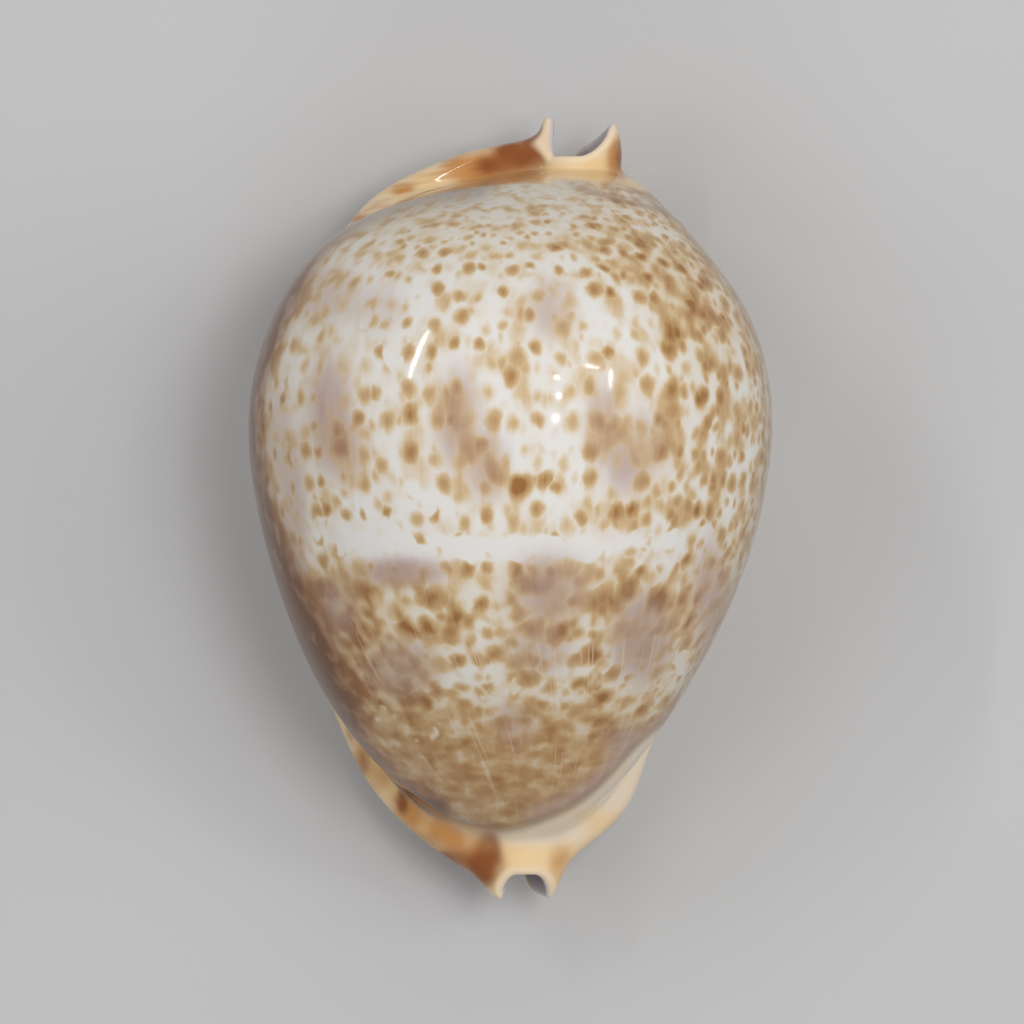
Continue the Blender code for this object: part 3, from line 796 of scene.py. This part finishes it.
def backColour(tree):
    chart, (u, v, _) = attribute(tree, "chart")
    skin, (across, _, _) = attribute(tree, "skin")
    _, (beyondFold, _, _) = attribute(tree, "beyond")
    _, (mauveTint, brownTint, whiteTint) = attribute(tree, "tint")
    _, (brownEdge, tanEdge, _) = attribute(tree, "edge")
    _, (body, _, _) = attribute(tree, "zone")

    def part(value, name):  # a share that starts and is full where the pattern says
        return fade(tree, value, *pattern[name])

    def share(value, name):
        return times(tree, value, pattern[name])

    def less(value, name):  # what such a share leaves
        return without(tree, share(value, name))

    place = wandering(tree, skin, *pattern["wideWander"])
    place = wandering(tree, place, *pattern["fineWander"])
    broad, blots = noise(tree, place, *pattern["broad"]), noise(tree, place, *pattern["blots"])
    strokes, slashes = noise(tree, chart, *pattern["strokes"]), noise(tree, skin, *pattern["slashes"])
    lineField = noise(tree, chart, *pattern["lineField"])
    linePatches = noise(tree, skin, *pattern["linePatches"])

    # shares of the shell
    rightward, leftward = part(u, "rightward"), part(u, "leftward")
    foreward, hindward = part(v, "foreward"), part(v, "hindward")
    push = share(calc(tree, "SUBTRACT", blots, 0.5), "bandRagged")
    belowBand = part(calc(tree, "ADD", v, push), "belowBand")
    lowLeft = times(tree, belowBand, part(u, "lowLeft"))
    upRight = times(tree, part(v, "upRightAlong"), part(u, "upRightRound"))
    ragMiddle, ragAmount = pattern["rag"]
    ragged = times(tree, calc(tree, "SUBTRACT", blots, ragMiddle), ragAmount, part(whiteTint, "ragFrom"))
    whiteTint = part(calc(tree, "ADD", whiteTint, ragged), "white")
    bare = without(tree, whiteTint)

    # the ground
    pastFold = times(tree, part(beyondFold, "warmPastFold"), part(across, "warmPastFoldAcross"))
    warm = either(tree, share(belowBand, "warmBelowBand"), share(foreward, "warmFore"),
                  share(hindward, "warmHind"), pastFold)
    warm = times(tree, warm, part(broad, "warmBroad"))
    warm = either(tree, warm, share(upRight, "warmUpRight"), share(leftward, "warmLeft"))
    ground = over(tree, warm, glaze["white"], glaze["warmWhite"])
    ground = over(tree, times(tree, mauveTint, part(slashes, "mauveSlashes")), ground, glaze["mauve"])

    # the dots, and the haze and wash between them
    density = either(tree, brownTint, share(rightward, "denseRight"), share(hindward, "denseHind"))
    density = either(tree, density, share(upRight, "denseUpRight"), share(leftward, "denseLeft"), foreward)
    density = either(tree, density, share(belowBand, "denseBelowBand"), lowLeft)
    spread = share(calc(tree, "SUBTRACT", broad, 0.5), "spotReachSpread")
    reach = times(tree, calc(tree, "ADD", pattern["spotReach"], spread), part(whiteTint, "reachInWhite"))
    large = dots(tree, place, reach, *pattern["spots"])
    fine = dots(tree, place, reach, *pattern["fineSpots"])
    smudged = dots(tree, place, share(reach, "smudgeSize"), *pattern["smudges"])
    fineShare = either(tree, share(rightward, "fineRight"), share(hindward, "fineHind"), pattern["fineLeast"])
    fineShare = times(tree, fineShare, less(belowBand, "fineLostBelowBand"))
    large = times(tree, large, less(belowBand, "largeLostBelowBand"))
    smudgeShare = calc(tree, "ADD", pattern["smudgeLeast"], share(belowBand, "smudgeBelowBand"))
    spots = either(tree, large, times(tree, fine, fineShare), times(tree, smudged, smudgeShare))
    spots = times(tree, spots, part(whiteTint, "spotsInWhite"))
    hazeShare = calc(tree, "ADD", pattern["hazeLeast"], share(density, "hazeDense"))
    haze = times(tree, part(blots, "hazeBlots"), hazeShare, bare)
    haze = calc(tree, "ADD", haze, times(tree, bare, part(broad, "hazeBroad")))
    wash = times(tree, density, density, part(blots, "washBlots"), bare)
    besideFlange = times(tree, part(body, "besideFlange"), part(v, "besideFlangeAlong"),
                         part(u, "besideFlangeRound"))
    lost = share(besideFlange, "lostBesideFlange")
    spots = times(tree, spots, calc(tree, "SUBTRACT", pattern["spotStrength"], lost))
    spots = times(tree, spots, less(leftward, "lostLeft"))
    spots = times(tree, spots, less(times(tree, part(across, "faintAcross"), part(v, "faintAlong")), "faint"))
    pigment = calc(tree, "ADD", spots, calc(tree, "ADD", haze, wash))
    pigment = times(tree, pigment, part(strokes, "strokeTone"))

    # the fore end
    foreTone = part(noise(tree, place, *pattern["ripple"]), "foreRipple")
    foreTone = calc(tree, "SUBTRACT", foreTone, share(part(slashes, "foreSlashes"), "foreSlash"))
    foreShare = times(tree, foreward, part(whiteTint, "foreInWhite"))
    pigment = times(tree, pigment, less(foreShare, "foreHides"))
    pigment = calc(tree, "ADD", pigment, times(tree, foreShare, foreTone))
    colour = pigmentColour(tree, pigment, ground)
    foreEdge = times(tree, foreward, part(body, "foreEdge"), part(across, "foreEdgeAcross"))
    colour = over(tree, either(tree, share(foreShare, "foreTan"), foreEdge), colour, glaze["foreTan"])
    nearEdge = between(tree, body, *pattern["pinkEdge"])
    pinkEdge = times(tree, foreward, nearEdge, part(across, "pinkEdgeAcross"))
    colour = over(tree, share(pinkEdge, "pink"), colour, glaze["mauve"])
    dusk = times(tree, mauveTint, part(v, "duskAlong"), part(slashes, "duskSlashes"))
    colour = over(tree, dusk, colour, over(tree, pattern["duskMix"], glaze["mauve"], glaze["dusk"]))

    # growth lines, and the fold at the hind end
    lineShare = times(tree, part(lineField, "lineFieldFade"), part(linePatches, "linePatchFade"))
    linesWhere = either(tree, part(v, "linesFrom"), times(tree, rightward, hindward, pattern["linesRight"]),
                        pattern["linesLeast"])
    lineShare = share(times(tree, lineShare, linesWhere), "lineStrength")
    colour = over(tree, lineShare, colour, glaze["fineLine"])
    foldSide, (lineIn, lineOut) = part(across, "foldSide"), pattern["foldLine"]
    foldTan = times(tree, part(beyondFold, "foldTan"), foldSide, part(blots, "foldBlots"))
    foldLine = times(tree, fade(tree, beyondFold, *lineIn), fade(tree, beyondFold, *lineOut), foldSide)
    colour = over(tree, share(foldTan, "foldStrength"), colour, glaze["ochre"])
    colour = over(tree, share(foldLine, "foldStrength"), colour, glaze["brown"])

    # the sides, darkened partly as painted shade, and the painted grey shade beside the spire
    tanShare = times(tree, tanEdge, part(slashes, "tanSlashes"))
    colour = over(tree, share(tanShare, "tanStrength"), colour, glaze["tan"])
    # painted shade: the back beside the low-left crease is darkened into the brown and chestnut margin
    creaseSideShade = times(tree, part(body, "creaseSideShade"), belowBand, part(across, "creaseSideAcross"))
    margin = either(tree, brownEdge, share(creaseSideShade, "creaseSideStrength"))
    margin = times(tree, margin, part(blots, "marginBlots"))
    # the brown and chestnut margin: real brown pigment, deepened towards chestnut as painted shade at the
    # edge
    colour = over(tree, share(part(margin, "brownMargin"), "brownStrength"), colour, glaze["brown"])
    colour = over(tree, share(part(margin, "chestnutMargin"), "chestnutStrength"), colour, glaze["chestnut"])
    # painted shade: a grey-brown shade laid on the back beside the hind-left crease, in the groove by the
    # spire
    greyShadeShare = times(tree, part(body, "greyShadeSide"), part(v, "greyAlong"), part(across, "greyAcross"))
    return over(tree, times(tree, greyShadeShare, part(blots, "greyBlots")), colour, glaze["creaseShade"])


def callusColour(tree):
    objectPlace = tree.nodes.new("ShaderNodeTexCoord").outputs["Object"]
    parts = tree.nodes.new("ShaderNodeSeparateXYZ")
    link(tree, objectPlace, parts.inputs[0])
    _, (orange, redBrown, chalk) = attribute(tree, "ends")
    _, (_, _, height) = attribute(tree, "edge")
    mottle, cloud = noise(tree, objectPlace, *pattern["mottle"]), noise(tree, objectPlace, *pattern["cloud"])
    foreSpout = fade(tree, parts.outputs[1], *pattern["foreSpout"])
    paleShare = times(tree, fade(tree, cloud, *pattern["paleCloud"]), without(tree, foreSpout))
    colour = over(tree, paleShare, glaze["cream"], glaze["paleCream"])
    baseShare = times(tree, fade(tree, height, *pattern["baseHeight"]), pattern["baseStrength"])
    colour = over(tree, baseShare, colour, glaze["base"])
    colour = over(tree, times(tree, chalk, pattern["chalkStrength"]), colour, glaze["chalk"])
    blotted = fade(tree, mottle, *pattern["patchMottle"])
    for kind, patches in (("orange", orange), ("redBrown", redBrown)):
        patch = fade(tree, times(tree, patches, blotted), *pattern[kind + "Fade"])
        colour = over(tree, times(tree, patch, pattern[kind + "Strength"]), colour, glaze[kind])
    return colour


def makeGlaze():
    material = bpy.data.materials.new("glazedShell")
    material.use_nodes = True
    tree = material.node_tree
    shader = tree.nodes["Principled BSDF"]
    _, (_, v, _) = attribute(tree, "chart")
    _, (across, _, _) = attribute(tree, "skin")
    _, (_, _, height) = attribute(tree, "edge")
    _, (body, inside, rim) = attribute(tree, "zone")
    colour = over(tree, fade(tree, body, *pattern["backEdge"]), callusColour(tree), backColour(tree))
    belowSpout = times(tree, fade(tree, across, *pattern["belowSpoutAcross"]),
                       fade(tree, v, *pattern["belowSpoutAlong"]))
    # painted shade: the crease between the back and the callus is darkened in the colour, above the base and
    # not below the spout
    creaseShade = times(tree, between(tree, body, *pattern["creaseShadeLine"]),
                   fade(tree, height, *pattern["creaseShadeHeight"]), pattern["creaseShadeStrength"])
    colour = over(tree, times(tree, creaseShade, without(tree, belowSpout)), colour, glaze["creaseShade"])
    rimShare = times(tree, fade(tree, rim, *pattern["rimWidth"]), pattern["rimStrength"])
    colour = over(tree, rimShare, colour, glaze["paleCream"])
    colour = over(tree, inside, colour, glaze["inside"])
    link(tree, colour, shader.inputs["Base Color"])
    shader.inputs["Roughness"].default_value = glaze["roughness"]
    shader.inputs["Specular IOR Level"].default_value = glaze["gloss"]
    return material


shell.data.materials.append(makeGlaze())
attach(shell, "root")
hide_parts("shell")
print("glaze made")

studio = {
    "floorWidth": 3.0,
    "floorColour": (0.47, 0.465, 0.46),
    "floorRoughness": 0.9,
    "airColour": (0.9, 0.93, 1.0),
    "airStrength": 0.22,
    "cameraHeight": 1.112,  # metres above the floor
    "cameraAim": (0.00017, -0.00052),
    "lens": 336.0,
    "sensor": 36.0,
    "lampAim": (0, 0, 0.02),
}
lamps = {  # place, size, long way and watts; the small ones are seen in the glaze, the soft ones aren't
    "softKey": ((0.3, 0.12, 1.0), (0.4, 0.4), (0, 1, 0), 4.0, False),
    "softLeft": ((-0.7, -0.1, 0.85), (0.6, 0.5), (0, 0, 1), 2.1, False),
    "softRight": ((0.9, 0.05, 0.62), (0.6, 0.5), (0, 0, 1), 2.7, False),
    "softFore": ((-0.1, -0.9, 0.7), (0.6, 0.5), (0, 0, 1), 2.0, False),
    "softHind": ((0.0, 0.9, 0.7), (0.6, 0.5), (0, 0, 1), 1.8, False),
    "leftStrip": ((-0.49, 0.42, 0.66), (0.024, 0.4), (0.1, 1, 0), 1.2, True),
    "rightTopStrip": ((0.44, 0.34, 0.8), (0.014, 0.12), (1, 0, 0), 0.25, True),
    "rightStrip": ((0.56, 0.24, 0.75), (0.014, 0.16), (0.2, 1, 0), 0.35, True),
    "dotHigh": ((0.26, 0.28, 0.98), (0.03, 0.03), (0, 1, 0), 0.2, True),
    "dotMiddle": ((0.275, 0.14, 1.0), (0.028, 0.028), (0, 1, 0), 0.18, True),
    "dotLow": ((0.255, 0.0, 1.02), (0.034, 0.034), (0, 1, 0), 0.24, True),
}


def addFloor():
    bpy.ops.mesh.primitive_plane_add(size=studio["floorWidth"])
    floor = bpy.context.object
    floor.name = floor.data.name = "studioFloor"
    material = bpy.data.materials.new("paleFloor")
    material.use_nodes = True
    shader = material.node_tree.nodes["Principled BSDF"]
    shader.inputs["Base Color"].default_value = (*studio["floorColour"], 1)
    shader.inputs["Roughness"].default_value = studio["floorRoughness"]
    floor.data.materials.append(material)


def addLamps():
    aim = Vector(studio["lampAim"])
    for name, (place, size, longWay, power, seen) in lamps.items():
        data = bpy.data.lights.new(name, "AREA")
        data.shape = "ELLIPSE" if seen else "RECTANGLE"
        data.size, data.size_y, data.energy = *size, power
        lamp = bpy.data.objects.new(name, data)
        bpy.context.collection.objects.link(lamp)
        lamp.location = place
        backward = (Vector(place) - aim).normalized()
        across = Vector(longWay).cross(backward).normalized()
        turned = Matrix((across, backward.cross(across), backward)).transposed()
        lamp.rotation_euler = turned.to_euler()
        lamp.visible_glossy = seen


def addAir():
    world = bpy.data.worlds.new("studioAir")
    bpy.context.scene.world = world
    world.use_nodes = True
    background = world.node_tree.nodes["Background"]
    background.inputs["Color"].default_value = (*studio["airColour"], 1)
    background.inputs["Strength"].default_value = studio["airStrength"]


addFloor()
addLamps()
addAir()

cameraData = bpy.data.cameras.new("topCamera")
cameraData.lens = studio["lens"]
cameraData.sensor_width = studio["sensor"]
camera = bpy.data.objects.new("topCamera", cameraData)
bpy.context.collection.objects.link(camera)
camera.location = (*studio["cameraAim"], studio["cameraHeight"])
camera.rotation_euler = (0, 0, 0)
bpy.context.scene.camera = camera
bpy.context.scene.view_settings.view_transform = "Standard"
print("studio set")

bpy.context.view_layer.update()
